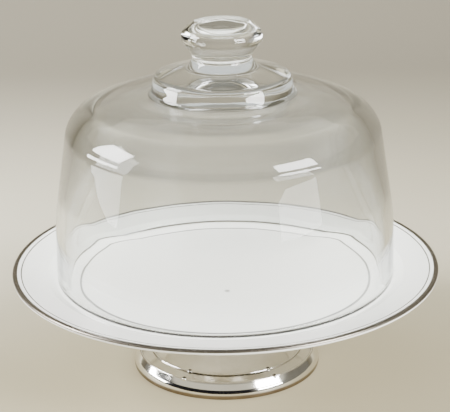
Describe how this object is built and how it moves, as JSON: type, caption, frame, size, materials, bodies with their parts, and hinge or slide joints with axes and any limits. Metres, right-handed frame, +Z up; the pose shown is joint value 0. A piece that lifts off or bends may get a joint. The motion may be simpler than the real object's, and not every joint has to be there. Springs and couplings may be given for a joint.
{
  "type": "footed cheese plate with glass dome",
  "caption": "Footed porcelain cheese plate with a metallic rim line, a silver-plated pedestal foot and a loose pressed-glass dome with a knob.",
  "frame": {"origin": "centre of the circle on which the foot stands, on the table", "axes": "+Z up along the common axis of foot, plate and dome; X and Y level, -Y towards the picture's camera"},
  "size_m": [0.28, 0.28, 0.2342],
  "materials": {
    "porcelain": "white glaze with a dark silver-grey band around the rim and a thin line inside it",
    "clear_glass": "clear pressed glass, smooth and slightly uneven",
    "silver_plate": "polished silver plate, tarnished warm brown in the hollows and at the edge",
    "cement": "matt plaster cement"
  },
  "bodies": {
    "root": {"porcelain_plate": "porcelain", "glass_dome": "clear_glass", "pedestal_foot": "silver_plate", "cement_bed": "cement"}
  },
  "joints": []
}
